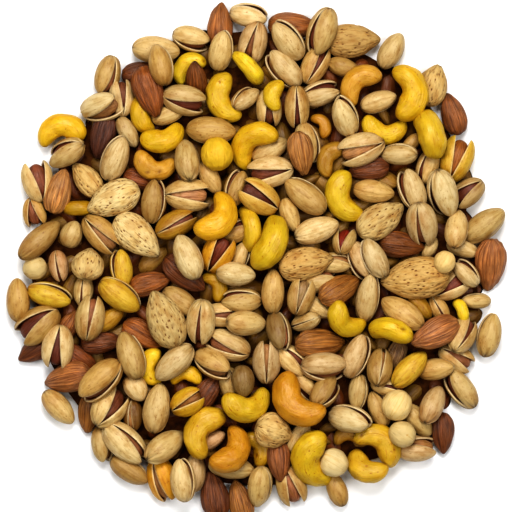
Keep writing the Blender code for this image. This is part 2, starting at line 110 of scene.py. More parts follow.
# A cashew bends round this arc, at this share of its length, about this share of its bend.
CASHEW_ARC = math.radians(190)
CASHEW_BEND = 0.33
CASHEW_MIDDLE = 0.6

# The nuts, as they lie seen from above. Lengths and places are in millimetres: x runs to the right
# and y to the back, from the middle of the heap. The heading is the way that the open tip, the
# pointed end or the thick end points, in degrees anticlockwise from the right. The layer is 0 at
# the bottom. Pistachios are (x, y, heading, roll, gape, length, layer): the roll turns the slit
# from the top to the right-hand side, and the gape is the angle between the two shells.
PISTACHIOS = (
    (-74.5, 93.5, -104, -35, 12, 20, 1), (-77.5, 77.5, 14, 50, 25, 22, 2),
    (-65.5, 83, 93, 10, 14, 19, 0), (-50, 106.5, -5, 90, 4, 24, 0),
    (-47.5, 98.5, 102, 70, 8, 21.5, 2), (-32.5, 112, -18, 50, 18, 19, 1),
    (-17.5, 106, 79, 75, 8, 21, 2), (-3.5, 124, -8, -60, 18, 19, 0),
    (-1.5, 110, -106, 8, 14, 22, 1), (-36, 81, -14, 25, 18, 22, 2), (-45, 73.5, 20, 90, 5, 18, 0),
    (-5.5, 82, 40, -55, 16, 16.5, 2), (16, 111, 124, 58, 9, 23, 2),
    (33, 115.5, -110, 45, 12, 24, 2), (14, 96.5, 133, -58, 14, 23, 1),
    (29.5, 99, 62, 15, 12, 21, 1), (32, 84.5, 18, -40, 16, 20, 0), (20.5, 77.5, -88, 0, 9, 21, 2),
    (6.5, 77, -88, 0, 16, 19, 0), (44.5, 73, 109, 65, 9, 22.5, 2), (44.5, 97.5, -20, 90, 3, 17, 0),
    (61.5, 80.5, 18, 80, 6, 19, 2), (68, 106, 60, 75, 5, 20, 2), (-95, 55, 204, 50, 20, 21, 1),
    (-109.5, 40.5, 101, 18, 26, 21, 0), (-111.5, 25, -78, 15, 30, 15, 1),
    (-108.5, 11, 43, 90, 3, 27, 1), (-92.5, 14, 70, 90, 0, 14, 0), (-77.5, 14, -45, 5, 14, 23, 1),
    (-70.5, 52, 70, -72, 7, 24, 2), (-63.5, 65.5, -60, 90, 3, 17, 0), (-34.5, 51, 98, 80, 4, 23, 1),
    (-22, 66, -5, 80, 5, 25, 1), (-23, 42, -60, 90, 3, 18, 0), (-34, 33.5, -2, 0, 20, 23, 2),
    (-51, 30.5, 82, 55, 10, 22, 1), (-10, 15.5, 25, -40, 14, 18, 0), (-10, 37, 75, -50, 14, 19, 0),
    (26.5, 59.5, -75, -60, 10, 21, 0), (7, 56, 30, 90, 0, 20, 0), (7, 45, 189, -8, 18, 23, 2),
    (26, 33.5, 141, 72, 6, 25, 2), (17, 23.5, -70, 90, 0, 18, 0),
    (52.5, 56.5, 198, -8, 18, 23.5, 2), (59, 35.5, -8, 88, 2, 21, 1), (30.5, 16, 18, 90, 0, 23, 1),
    (44, 10.5, 75, -20, 30, 15, 1), (71.5, 54, 178, 60, 6, 19, 1), (78, 59.5, 50, 90, 0, 13, 0),
    (86, 48, -110, 35, 10, 18, 0), (93.5, 34.5, -76, 58, 14, 25, 2), (78, 36, 112, -55, 15, 22, 1),
    (106.5, 35, 215, 20, 25, 18, 0), (83, 19, -80, 20, 10, 24, 2), (87.5, 7, 60, 90, 0, 12, 0),
    (100.5, 16.5, 80, 70, 3, 21.5, 1), (114.5, 18, 37, 75, 4, 24, 0),
    (104.5, 7.5, -20, 90, 0, 17, 0), (-99, -2, -80, 10, 6, 16, 0), (-119.5, -19, 93, -78, 5, 22, 1),
    (-86.5, -14.5, -95, 10, 6, 16, 0), (-109, -31.5, 214, 28, 24, 24, 1),
    (-98.5, -44, -97, 2, 18, 22, 1), (-83, -28, 80, 3, 9, 23, 2), (-62.5, -46.5, 108, 70, 5, 25, 2),
    (-34, 2.5, 112, 74, 4, 24, 2), (-7.5, 3, 70, 60, 10, 15, 0), (-10, -6, -5, 85, 0, 20, 2),
    (-7.5, -19, 178, 45, 10, 20, 1), (-37.5, -20, -35, 90, 0, 21, 0),
    (-27.5, -30, -95, 10, 8, 23, 1), (-18, -26.5, 0, 0, 14, 18, 0), (-5, -30.5, -3, 80, 3, 22, 1),
    (-14, -42, 159, -20, 14, 23, 1), (-21.5, -50.5, -34, 48, 12, 22, 1),
    (-41, -50.5, 222, 88, 0, 24, 1), (-6.5, -59.5, -85, 90, 0, 16, 1),
    (8.5, -14.5, 88, 88, 0, 22, 2), (22.5, -17, 75, 0, 18, 19, 1), (31, -9, 15, -45, 14, 19, 0),
    (41, 0, 0, -40, 14, 17, 0), (59, 2.5, 118, -65, 8, 21, 2), (50, 0, -68, 60, 14, 20, 0),
    (56, -17.5, 80, 72, 6, 25, 2), (11.5, -34.5, -75, -45, 8, 21, 1), (25, -30.5, 200, 0, 3, 17, 1),
    (30, -22.5, -30, 90, 0, 18, 0), (5.5, -50, 90, 0, 8, 22.5, 2), (17.5, -50, -40, -30, 14, 20, 0),
    (34, -52.5, -5, 50, 20, 23, 2), (50.5, -47.5, 67, 58, 10, 23, 1), (62, -52.5, 80, 10, 6, 21, 1),
    (105.5, -5.5, 130, 55, 18, 16, 1), (97, -13, 35, 0, 24, 19, 0),
    (110.5, -19.5, 180, 60, 0, 15, 1), (92.5, -22.5, -60, 0, 6, 15, 0),
    (73, -25.5, 147, -80, 6, 25, 1), (103.5, -36.5, 60, 20, 12, 21, 1),
    (117, -36.5, 78, -72, 8, 22, 1), (100.5, -48, -30, -10, 18, 19, 0),
    (91, -54.5, 8, 88, 0, 20, 1), (-99, -73, -48, 88, 0, 21, 1),
    (-77.5, -59.5, 225, -48, 12, 26, 2), (-72.5, -74, 55, 22, 24, 23, 2),
    (-77, -91.5, -80, -50, 14, 18, 0), (-63.5, -89.5, -42, -35, 10, 26, 2),
    (-63.5, -104.5, -33, -70, 2, 22, 1), (-60.5, -64.5, -60, 90, 0, 15, 0),
    (-61, -75, -90, 20, 10, 16, 0), (-48, -73, 80, 88, 0, 25, 1), (-14, -61.5, -70, -30, 14, 18, 0),
    (-22, -89.5, 30, 80, 0, 15, 0), (-43.5, -92, 36, 85, 0, 24, 2), (-36.5, -109, 95, 55, 9, 22, 1),
    (-29.5, -106, 85, 90, 0, 20, 0), (-12.5, -103, -10, 90, 0, 23, 0),
    (34.5, -65, 50, 50, 20, 20, 1), (51, -65, -95, -50, 4, 18, 1),
    (47, -78.5, -13, -62, 8, 23.5, 2), (62, -73, 110, 60, 10, 19, 0),
    (40.5, -114, 110, 85, 0, 18, 0), (17.5, -112, -72, 0, 20, 21, 0),
    (2, -112.5, -95, -65, 8, 22, 1), (21.5, -87.5, 60, 90, 0, 18, 0),
    (24.5, -61.5, -50, 30, 12, 17, 0), (102, -63, 128, -55, 16, 22, 1),
    (88.5, -71.5, 65, 88, 0, 22, 2), (81.5, -79.5, -50, 90, 0, 20, 0),
    (80.5, -93.5, 5, -40, 20, 20, 0), (66, -62.5, -10, 0, 10, 18, 0),
)

# Pistachios whose shells are dyed yellow, told in the same way.
YELLOW_PISTACHIOS = (
    (-40, 19, 27, 0, 8, 22, 1), (-19, 4.5, 62, 0, 20, 22, 1), (100.5, 52, 72, 0, 20, 23, 1),
    (-67.5, -3, 100, -55, 12, 19, 0), (-103.5, -16.5, -14, -60, 10, 23, 1),
    (-68, -16.5, -35, -65, 8, 24, 2), (-73, -29, 40, 90, 0, 17, 0), (77, -53.5, 45, 88, 0, 23, 3),
    (-36, -70, 30, 0, 14, 18, 1), (-47, -109, -74, 30, 12, 23, 0), (82.5, -22, -50, 90, 0, 17, 0),
    (1.5, 32.5, 146, 8, 14, 24, 1),
)

# Almonds out of their shells: (x, y, heading, length, layer).
ALMONDS = (
    (-58, 94.5, 10, 20, 0), (-18, 119, 88, 23, 1), (-28.5, 91, 95, 20, 1), (-53.5, 85, -72, 27, 1),
    (18.5, 118.5, 0, 25, 0), (99, 74.5, 108, 22, 0), (-77, 63, -105, 23, 1),
    (-99, 35.5, 75, 23.5, 1), (-58, 41, -20, 18, 0), (22.5, 54, -80, 23, 1),
    (56.5, 46.5, 190, 21, 1), (73, 8.5, -8, 24, 1), (117.5, -1.5, -94, 28, 1),
    (-110, -43.5, 212, 22, 0), (-94, -32, 60, 18, 0), (-78.5, -41.5, 5, 21, 0),
    (-87, -47.5, -35, 22, 0), (-95.5, -56.5, 195, 27, 1), (-36.5, -6.5, -40, 26, 0),
    (-52, -10, 15, 22, 0), (-56.5, -37.5, -30, 23, 0), (42, -13.5, 28, 25, 1), (32, -40, 2, 27, 1),
    (89, -35.5, 205, 27, 2), (71, -45, 70, 18, 0), (-84, -76.5, -95, 20, 0),
    (-23, -64.5, 55, 22, 0), (-20.5, -116, 100, 25, 0), (-9.5, -120, 105, 22, 0),
    (11.5, -99.5, -85, 22, 1), (93.5, -86, -88, 21, 0),
)

# Almonds in their shells, told in the same way.
SHELL_ALMONDS = (
    (48.5, 111, 3, 28, 1), (88, 87, 72, 22, 1), (-85, 41.5, 130, 21, 1),
    (-71.5, 31.5, 203, 28.5, 2), (-59.5, 13, -42, 29, 2), (62.5, 20.5, 33, 28, 2),
    (-84, -1, 80, 18, 1), (24, 0, 12, 28, 2), (-45.5, -28.5, 113, 31, 2), (79.5, -8, 187, 35, 2),
    (9, -84.5, -20, 20, 3),
)

# Cashews: (x, y, heading, roll, length, layer). The hollow side is on the right of the
# heading, and the roll turns the back up.
CASHEWS = (
    (-98, 65, 10, 0, 26, 0), (-4, 97.5, -48, 80, 23, 2), (-34, 97, 40, 0, 20, 0),
    (-56.5, 75, 90, 30, 23, 0), (-46.5, 63, 197, 30, 23, 2), (-17, 82, 105, 0, 27, 1),
    (10, 83, 80, 0, 15, 3), (52, 88.5, 45, 0, 25, 1), (32.5, 68.5, -60, 0, 14, 0),
    (75.5, 85, -85, 0, 30, 2), (87, 66, -70, 75, 27, 1), (64.5, 67, 172, 0, 25, 1),
    (-89.5, 27, 0, 90, 18, 0), (-50.5, 49, 165, 0, 23, 1), (-1.5, 58.5, 45, 0, 31, 2),
    (-20, 23, -123, 10, 29, 2), (-3.5, 17, -80, 60, 26, 1), (7.5, 9.5, -112, 60, 30, 2),
    (43.5, 32, 108, 0, 28, 2), (37, 51.5, 60, 0, 20, 0), (-21, -12, -60, 0, 17, 0),
    (-52.5, -52, 90, 0, 20, 0), (-35, -58, 0, 0, 17, 0), (45.5, -28.5, 140, 0, 24, 2),
    (67, -35, -8, 60, 25, 2), (102.5, -24, -65, 60, 14, 2), (-5, -71, 188, 0, 28, 2),
    (-28, -85, 62, 0, 29, 2), (-13, -93.5, -122, 0, 28, 2), (0, -93.5, -60, 0, 20, 0),
    (20.5, -69, 133, 0, 33, 2), (29.5, -99, 98, 0, 33, 2), (47, -88, 0, 0, 18, 0),
    (61, -91.5, -38, 0, 28, 1), (56, -102, 152, 20, 23, 2),
)

# Blanched hazelnuts: (x, y, heading, length, layer).
HAZELNUTS = (
    (-111, -3, 200, 12.5, 0), (94, 0, 240, 11.5, 3), (70.5, -71.5, 60, 16, 3),
    (39, -100.5, 330, 15, 3), (-19.5, 54, 100, 17, 3), (73, -86, 150, 14, 2),
)


class Nut(NamedTuple):
    """A nut and how it lies, seen from above, in metres and radians."""

    kind: str
    x: float
    y: float
    heading: float
    roll: float
    gape: float
    length: float
    layer: int
    stout: float


def laid(kind, x, y, heading, roll, gape, length, layer):
    """The nut that a row of the lists above tells of."""
    angles = [math.radians(angle) for angle in (heading, roll, gape)]
    return Nut(kind, x * MM, y * MM, *angles, length * MM, layer, STOUT.get((x, y), 1.0))


def all_nuts():
    """Every nut of the heap, the lowest layer first."""
    nuts = [laid("pistachio", *row) for row in PISTACHIOS + YELLOW_PISTACHIOS]
    flat = {"almond": ALMONDS, "shell_almond": SHELL_ALMONDS, "hazelnut": HAZELNUTS}
    for kind, rows in flat.items():
        nuts += [laid(kind, x, y, heading, 0, 0, *rest) for x, y, heading, *rest in rows]
    nuts += [laid("cashew", x, y, heading, roll, 0, *rest)
             for x, y, heading, roll, *rest in CASHEWS]
    return sorted(nuts, key=lambda nut: nut.layer)


def core_reach(nuts):
    """How far the core reaches in each direction: nearly to the middle of the outermost nut."""
    step = math.tau / CORE_STEPS
    reach = []
    for number in range(CORE_STEPS):
        near = [
            math.hypot(nut.x, nut.y)
            for nut in nuts
            if math.cos(math.atan2(nut.y, nut.x) - number * step) > math.cos(step)
        ]
        reach.append(max(near) - CORE_INSET)
    return reach


def core_top(share):
    """Height of the core's top at this share of the way from its middle to its rim."""
    return CORE_RIM + (CORE_HEIGHT - CORE_RIM) * (1 - share**2)


def taper(kind, x):
    """How wide the nut is before it is rounded, at x from -1 at its blunt end to 1 at the other."""
    blunt, sharp = TAPERS[kind]
    return blunt + (sharp - blunt) * (x + 1) / 2


def girth(kind, x):
    """Half the nut's width at x as a share of the most. A cashew is fuller towards its ends."""
    power = 3 if kind == "cashew" else 2
    return taper(kind, x) * np.sqrt(np.clip(1 - np.abs(x) ** power, 0, None))


def ball_size(kind, x):
    """Radius of the ball that just fits into the nut at x, as a share of half its width."""
    if kind == "cashew":
        return girth(kind, x)
    room = 1 - SHARES[kind][0] ** 2
    return taper(kind, x) * math.sqrt(max(LEAST_BALL, 1 - x * x / room))


def half_sizes(nut):
    """Half the width and half the thickness of the nut."""
    return (share * nut.stout * nut.length / 2 for share in SHARES[nut.kind])


def middle_line(nut, x, outward=0.0):
    """Along and to the left: a point of the nut's middle line, or so far outside a cashew's."""
    if nut.kind != "cashew":
        return x * nut.length / 2, outward
    bend = CASHEW_BEND * nut.length
    turn = x * CASHEW_ARC / 2
    far = bend + outward
    return far * np.sin(turn), far * np.cos(turn) - bend * CASHEW_MIDDLE


def beads(nut):
    """Balls that fill the nut: (along its heading, to its left, up, half width, half thickness)."""
    width, thickness = half_sizes(nut)
    row = []
    for x in BEAD_PLACES:
        along, side = middle_line(nut, x)
        left, up = side * math.cos(nut.roll), side * math.sin(nut.roll)
        size = ball_size(nut.kind, x)
        row.append((along, left, up, width * size - SQUEEZE, thickness * size))
    return row


def spots(nut):
    """The nut's balls where it lies: (x, y, along its heading, up, half width, half thickness)."""
    ahead, aside = math.cos(nut.heading), math.sin(nut.heading)
    return [
        (nut.x + along * ahead - left * aside, nut.y + along * aside + left * ahead,
         along, up, half, thick)
        for along, left, up, half, thick in beads(nut)
    ]


def eased(nuts):
    """The nuts, moved a little apart where two of one layer were laid into each other."""
    balls = [np.array(spots(nut)) for nut in nuts]
    pairs = [
        (one, two)
        for one, two in itertools.combinations(range(len(nuts)), 2)
        if nuts[one].layer == nuts[two].layer
        and math.hypot(nuts[one].x - nuts[two].x, nuts[one].y - nuts[two].y)
        < (nuts[one].length + nuts[two].length) / 2 + 2 * EASE_MOST
    ]
    moves = np.zeros((len(nuts), 2))
    for _ in range(EASE_ROUNDS):
        for one, two in pairs:
            first, second = balls[one], balls[two]
            apart = (first[:, None, :2] + moves[one]) - (second[None, :, :2] + moves[two])
            distance = np.maximum(np.hypot(apart[..., 0], apart[..., 1]), NO_LENGTH)
            overlap = first[:, None, 4] + second[None, :, 4] - distance
            worst = np.unravel_index(overlap.argmax(), overlap.shape)
            if overlap[worst] > 0:
                push = apart[worst] / distance[worst] * overlap[worst] * EASE_SHARE
                moves[one] += push
                moves[two] -= push
        far = np.maximum(np.hypot(moves[:, 0], moves[:, 1]) / EASE_MOST, 1)
        moves /= far[:, None]
    return [
        nut._replace(x=nut.x + x, y=nut.y + y) for nut, (x, y) in zip(nuts, moves.tolist())
    ]


class HeightMap:
    """The top of what is laid so far, on a grid of cells."""

    def __init__(self, reach):
        edge = np.arange(-MAP_HALF, MAP_HALF, CELL) + CELL / 2
        self.x, self.y = np.meshgrid(edge, edge, indexing="ij")
        directions = np.arange(CORE_STEPS) * math.tau / CORE_STEPS
        rim = np.interp(np.arctan2(self.y, self.x), directions, reach, period=math.tau)
        share = np.hypot(self.x, self.y) / rim
        self.solid = np.where(share < 1, core_top(share), 0.0)
        self.top = np.maximum(self.solid - CORE_SINK, 0.0)

    def patch(self, x, y, half):
        """The cells round a ball's middle, and the share of its height that stands over each."""
        low = [int((v - half + MAP_HALF) / CELL) for v in (x, y)]
        high = [int((v + half + MAP_HALF) / CELL) + 1 for v in (x, y)]
        cells = (slice(low[0], high[0]), slice(low[1], high[1]))
        away = ((self.x[cells] - x) ** 2 + (self.y[cells] - y) ** 2) / half**2
        return cells, np.sqrt(np.clip(1 - away, 0, None))

    def height_needed(self, x, y, half, thick):
        """The lowest that a ball's middle can be here."""
        cells, share = self.patch(x, y, half)
        top = self.top[cells]
        over = np.where((share > 0) & (top > 0), top + thick * share, 0)
        return max(float(over.max()), thick + FLOOR_GAP)

    def grip(self, balls, z, slope):
        """The number of cells where the nut's underside is well below the top of the others."""
        count = 0
        for x, y, along, up, half, thick in balls:
            cells, share = self.patch(x, y, half)
            under = z + slope * along + up - thick * share
            count += np.count_nonzero((share > 0) & (self.solid[cells] - under > GRIP_DEPTH))
        return count

    def cover(self, balls, z, slope):
        """Raises the cells under a nut's balls to their top."""
        for x, y, along, up, half, thick in balls:
            cells, share = self.patch(x, y, half)
            height = np.where(share > 0, z + slope * along + up + thick * share, 0)
            self.solid[cells] = np.maximum(self.solid[cells], height)
            self.top[cells] = np.maximum(self.top[cells], height)


def settled(nuts, reach):
    """Each nut with the height of its middle and its slope, where it comes to rest."""
    ground = HeightMap(reach)
    slopes = np.linspace(-STEEPEST, STEEPEST, SLOPES)
    placed = []
    for nut in nuts:
        balls = spots(nut)
        needed = [
            ground.height_needed(x, y, half, thick) - up for x, y, _, up, half, thick in balls
        ]
        heights = [
            max(need - slope * ball[2] for need, ball in zip(needed, balls)) for slope in slopes
        ]
        z, _, slope = min((height, abs(slope), slope) for height, slope in zip(heights, slopes))
        floor = max(thick + FLOOR_GAP - up - slope * along for _, _, along, up, _, thick in balls)
        for sink in NESTLE:
            if ground.grip(balls, max(z - sink, floor), slope) > GRIP_CELLS:
                break
        z = max(z - sink, floor)
        ground.cover(balls, z, slope)
        placed.append((nut, z, slope))
    return placed


def lie(nut, height, slope):
    """The placing of a nut, whose own +X is its heading and whose own +Z is its slit or its top."""
    return (
        Matrix.Translation((nut.x, nut.y, height))
        @ Matrix.Rotation(nut.heading, 4, "Z")
        @ Matrix.Rotation(-math.atan(slope), 4, "Y")
        @ Matrix.Rotation(nut.roll, 4, "X")
    )


# Shapes

# Heights and depths are shares of the girth here, and how strong a tone is lies from 0 to 1.
# How much of each tone the skins keep, in red, green and blue.
TONE_KEPT = np.array((0.72, 0.70, 0.60))
NO_TURN = 1e-4
# How far the patterns of the skins and of the dents move on from nut to nut.
GRAIN_STEP = np.array((7.3, 3.7, 5.9))
GRAIN_WRAP = np.array((91, 83, 97))
DENT_STEP = (1.7, 2.3, 0.9)
# How much slimmer each kind gets at its pointed end, and from where on.
TIPS = {"pistachio": (0.10, 0.6), "almond": (0.16, 0.5), "shell_almond": (0.22, 0.35)}
# What is added to a nut's number, so that each thing about it is drawn on its own.
PATCH_SEED, KERNEL_SEED, GROOVE_SEED = 9, 5, 50
TONE_SEED, KERNEL_TONE_SEED, BELOW_SEED = 1000, 2000, 500


class Ball:
    """A ball whose poles lie on the X axis, as the place and turn of each corner and its faces."""

    def __init__(self, sides, bands):
        shape = bmesh.new()
        bmesh.ops.create_uvsphere(shape, u_segments=sides, v_segments=bands, radius=1)
        corners = np.array([corner.co for corner in shape.verts])
        self.sides = sides
        self.x = np.clip(corners[:, 2], -1, 1)
        self.turn = np.arctan2(corners[:, 1], corners[:, 0]) % math.tau
        self.turn[self.turn > math.tau - NO_TURN] = 0
        # The poles go from Z to X, which turns the ball inside out, so each face is turned round.
        self.faces = [[corner.index for corner in reversed(face.verts)] for face in shape.faces]
        shape.free()


class Piece:
    """A mesh that all the nuts of a kind are joined into."""

    def __init__(self, name, material):
        self.name, self.material = name, material
        self.corners, self.faces, self.grain, self.tint = [], [], [], []
        self.count = 0

    def add(self, place, points, faces, grain, tint, seed, mirrored=False):
        """Lays a shape in its place, with the grain and the tint of each corner."""
        place = np.array(place)
        laid_out = points @ place[:3, :3].T + place[:3, 3]
        laid_out[:, 2] = np.maximum(laid_out[:, 2], FLOOR_GAP)
        self.corners.append(laid_out)
        step = -1 if mirrored else 1
        self.faces += [[index + self.count for index in face[::step]] for face in faces]
        self.grain.append(grain / MM + seed * GRAIN_STEP % GRAIN_WRAP)
        self.tint.append(np.broadcast_to(tint, points.shape))
        self.count += len(points)

    def finish(self, slot="nuts"):
        """Makes the object, which rides with the heap and stands in for its solid."""
        mesh = bpy.data.meshes.new(self.name)
        mesh.from_pydata(np.concatenate(self.corners).tolist(), [], self.faces)
        mesh.polygons.foreach_set("use_smooth", np.ones(len(mesh.polygons), bool))
        grain = mesh.attributes.new("grain", "FLOAT_VECTOR", "POINT")
        grain.data.foreach_set("vector", np.concatenate(self.grain).ravel())
        tint = mesh.attributes.new("tint", "FLOAT_COLOR", "POINT")
        colours = np.clip(np.concatenate(self.tint), 0, 1) * TONE_KEPT
        tint.data.foreach_set("color", np.column_stack((colours, np.ones(len(colours)))).ravel())
        mesh.materials.append(self.material)
        mesh.update()
        thing = bpy.data.objects.new(self.name, mesh)
        bpy.context.scene.collection.objects.link(thing)
        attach(thing, "root")
        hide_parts("nut_heap")


def linear(code):
    """The linear colour of a web colour such as D9BC85."""
    parts = np.array([int(code[k:k + 2], 16) / 255 for k in (0, 2, 4)])
    return np.where(parts <= 0.04045, parts / 12.92, ((parts + 0.055) / 1.055) ** 2.4)


def tones(codes):
    """The linear colours of a row of web colours."""
    return [linear(code) for code in codes.split()]


def fade(value, low, high=1.0):
    """0 below low, 1 above high and smooth between them."""
    share = np.clip((value - low) / (high - low), 0, 1)
    return share * share * (3 - 2 * share)


def blend(one, two, share):
    """A colour between two, with a share for each corner."""
    return one + (two - one) * np.asarray(share)[..., None]


def tip(kind, x):
    """How much of the girth is left at each x, which is less towards the pointed end."""
    slimmer, start = TIPS[kind]
    return 1 - slimmer * fade(x, start)


def around(nut, x, turn):
    """Where each corner is along and round the nut, for grain that runs from end to end."""
    width, _ = half_sizes(nut)
    bent = CASHEW_BEND * CASHEW_ARC if nut.kind == "cashew" else 1
    return np.column_stack((x * bent * nut.length / 2, width * np.cos(turn), width * np.sin(turn)))


def body(nut, x, turn, size, wider=1.0, longer=1.0):
    """The corners of a straight nut with this girth at each x, as a share of the most."""
    width, thickness = half_sizes(nut)
    return np.column_stack((
        x * nut.length / 2 * longer,
        size * width * wider * np.sin(turn),
        size * thickness * np.cos(turn),
    ))


def seam(turn, depth, sharpness):
    """How deep a seam along the top and the bottom is at each turn, as a share of the girth."""
    return depth * np.cos(turn) ** sharpness


class Dents(NamedTuple):
    """Dents: how wide and what share of their length, how deep for the girth, and how dark."""

    width: float
    aspect: float = 1.0
    depth: float = 0.0
    shade: float = 0.0

    def at(self, points, seed):
        """How high each point stands in them, smoothly from about -1 to 1."""
        shift = Vector([seed * step for step in DENT_STEP])
        stretched = (points * (self.aspect, 1, 1)).tolist()
        return np.array([noise.noise(Vector(point) / self.width + shift) for point in stretched])

    def on(self, points, tone, seed):
        """The points and the tone with these dents in them."""
        high = self.at(points, seed)[:, None]
        return points * (1 + self.depth * high), tone * (1 + self.shade * high)


# Pistachios

# A half shell: so many of the steps round it are its outer wall, the others its inner wall.
HALF_SHELL = Ball(20, 18)
OUTER_STEPS = 14
SHELL_THICKNESS = 0.8 * MM
SHELL_DENTS = Dents(5 * MM, depth=0.02)
# How wide and how deep the shells are.
SHELL_WIDTHS, SHELL_DEPTHS = (0.94, 1.06), (0.94, 1.04)
# The least angle between the two shells, and the least that lets the kernel show.
LEAST_GAPE, KERNEL_GAPE = math.radians(1.5), math.radians(2.5)
RIM_TONE = linear("FAEACA")
INSIDE_TONE = linear("9A5C38")
STEM_TONE = linear("6E4A22")
# The pale rim: how far it reaches in radians, how strong it is, and how strong on the inside.
RIM_WIDTH, RIM_SHARE, RIM_INSIDE = 0.18, 0.7, 0.4
# The dark scar of the stem: where along the shell, and how strong.
STEM_PLACE, STEM_SHARES = (-0.995, -0.93), (0.2, 0.6)
# The ridges that meet in a star at the stem end: how many, how high, how far they reach, and how
# dark the grooves between them are.
STAR_RIDGES, STAR_HEIGHTS, STAR_REACH, STAR_SHADE = 7, (0.01, 0.06), (0.45, 0.85), 3
# The golden brown near the rim and near the stem end: partly the shell's own golden patches, partly
# painted shade that darkens the shell towards its edges and its stem end. Where, how strong, and in
# what patches.
GOLDEN_SHADE = np.array((0.74, 0.56, 0.36))
GOLDEN_SHADE_NEAR_RIM, GOLDEN_SHADE_NEAR_RIM_SHARES = (-1.1, -0.1), (0.1, 0.7)
GOLDEN_SHADE_NEAR_STEM, GOLDEN_SHADE_NEAR_STEM_SHARES = (-0.2, 0.8), (0, 0.7)
GOLDEN_PATCHES = Dents(6 * MM, shade=1.2)
# The kernel: its size in the shell, its seam, and how much wider it is for a gape of one radian.
KERNEL = Ball(16, 14)
KERNEL_SIZE, KERNEL_SEAM, KERNEL_SPREAD = 0.84, (0.10, 8), 0.5
KERNEL_DENTS = Dents(2.5 * MM, depth=0.04)
KERNEL_SHADES = Dents(3 * MM, shade=0.25)
KERNEL_TONES = tones("B47C5A 965A42 C49468 A06648 8A4E3A")


def half_shell(nut):
    """Corners of one half of the shell, on the +Y side, and where they are: turn, inside or not."""
    x = HALF_SHELL.x
    step = HALF_SHELL.turn / math.tau * HALF_SHELL.sides
    outside = step < OUTER_STEPS - NO_TURN
    out_share = step / (OUTER_STEPS - 1)
    in_share = (step - OUTER_STEPS) / (HALF_SHELL.sides - OUTER_STEPS - 1)
    share = np.where(outside, out_share, 1 - in_share)
    crowded = (share + (1 - np.cos(math.pi * share)) / 2) / 2
    turn = math.pi * crowded
    width, _ = half_sizes(nut)
    wall = np.where(outside, 1, 1 - SHELL_THICKNESS / width)
    size = girth("pistachio", x) * tip("pistachio", x) * wall
    return body(nut, x, turn, size, longer=wall), turn, outside


def open_up(points, angle, nut):
    """Turns a half shell about its hinge at the stem end."""
    hinge = -nut.length / 2
    ahead, aside = points[:, 0] - hinge, points[:, 1]
    return np.column_stack((
        hinge + ahead * math.cos(angle) - aside * math.sin(angle),
        ahead * math.sin(angle) + aside * math.cos(angle),
        points[:, 2],
    ))


def add_pistachio(shells, kernels, nut, place, tone, kernel_tone, seed):
    """Two half shells, hinged at the stem end, with the kernel between them."""
    draw = random.Random(seed)
    points, turn, outside = half_shell(nut)
    points *= (1, draw.uniform(*SHELL_WIDTHS), draw.uniform(*SHELL_DEPTHS))
    points, tone = SHELL_DENTS.on(points, tone, seed)
    x = HALF_SHELL.x
    edge = np.minimum(turn, math.pi - turn)
    rim = 1 - fade(edge, 0.0, RIM_WIDTH)
    # Golden brown towards the rim and the stem end, in patches: partly the shell's own colour,
    # partly painted shade.
    golden_and_shade = fade(-edge, *GOLDEN_SHADE_NEAR_RIM) * draw.uniform(*GOLDEN_SHADE_NEAR_RIM_SHARES)
    golden_and_shade = golden_and_shade + fade(-x, *GOLDEN_SHADE_NEAR_STEM) * draw.uniform(*GOLDEN_SHADE_NEAR_STEM_SHARES)
    patches = GOLDEN_PATCHES.shade * GOLDEN_PATCHES.at(points, seed + PATCH_SEED)
    patches = np.clip(0.5 + patches, 0, 1)
    tint = blend(tone, tone * GOLDEN_SHADE, np.clip(golden_and_shade, 0, 1) * patches)
    tint = blend(tint, RIM_TONE, rim * RIM_SHARE)
    tint = blend(tint, INSIDE_TONE, ~outside * (1 - RIM_INSIDE * rim))
    tint = blend(tint, STEM_TONE, (1 - fade(x, *STEM_PLACE)) * draw.uniform(*STEM_SHARES))
    star = draw.uniform(*STAR_HEIGHTS) * np.cos(STAR_RIDGES * turn) * fade(-x, *STAR_REACH)
    points *= 1 + star[:, None]
    tint = tint * (1 + STAR_SHADE * np.minimum(star, 0)[:, None])
    gape = max(nut.gape, LEAST_GAPE)
    grain = around(nut, x, turn)
    for side in (1, -1):
        half = open_up(points, gape / 2, nut) * (1, side, 1)
        shells.add(place, half, HALF_SHELL.faces, grain, tint, seed + side / 2, mirrored=side < 0)
    if nut.gape > KERNEL_GAPE:
        add_kernel(kernels, nut, place, kernel_tone, seed)


def add_kernel(kernels, nut, place, tone, seed):
    """The kernel, with the seam between its halves under the slit."""
    x, turn = KERNEL.x, KERNEL.turn
    size = girth("pistachio", x) * (1 - seam(turn, *KERNEL_SEAM)) * KERNEL_SIZE
    points = body(nut, x, turn, size, wider=1 + nut.gape * KERNEL_SPREAD, longer=KERNEL_SIZE)
    points, tone = KERNEL_DENTS.on(points, tone, seed)
    points, tint = KERNEL_SHADES.on(points, tone, seed + KERNEL_SEED)
    kernels.add(place, points, KERNEL.faces, around(nut, x, turn), tint, seed)


# Almonds, cashews and hazelnuts

ALMOND = Ball(56, 32)
SHELL_ALMOND = Ball(80, 64)
CASHEW = Ball(30, 32)
HAZELNUT = Ball(40, 30)
ALMOND_DENTS = Dents(1.7 * MM, aspect=0.22, depth=0.045, shade=0.28)
CASHEW_DENTS = Dents(4.5 * MM, depth=0.10, shade=0.14)
HAZELNUT_DENTS = Dents(3 * MM, depth=0.04, shade=0.10)
# The dark tip of a shelled almond: from where on, how much of the tone it keeps, how strong.
ALMOND_TIP_START, ALMOND_TIP_TONE, ALMOND_TIP_SHARE = 0.93, 0.5, 0.7
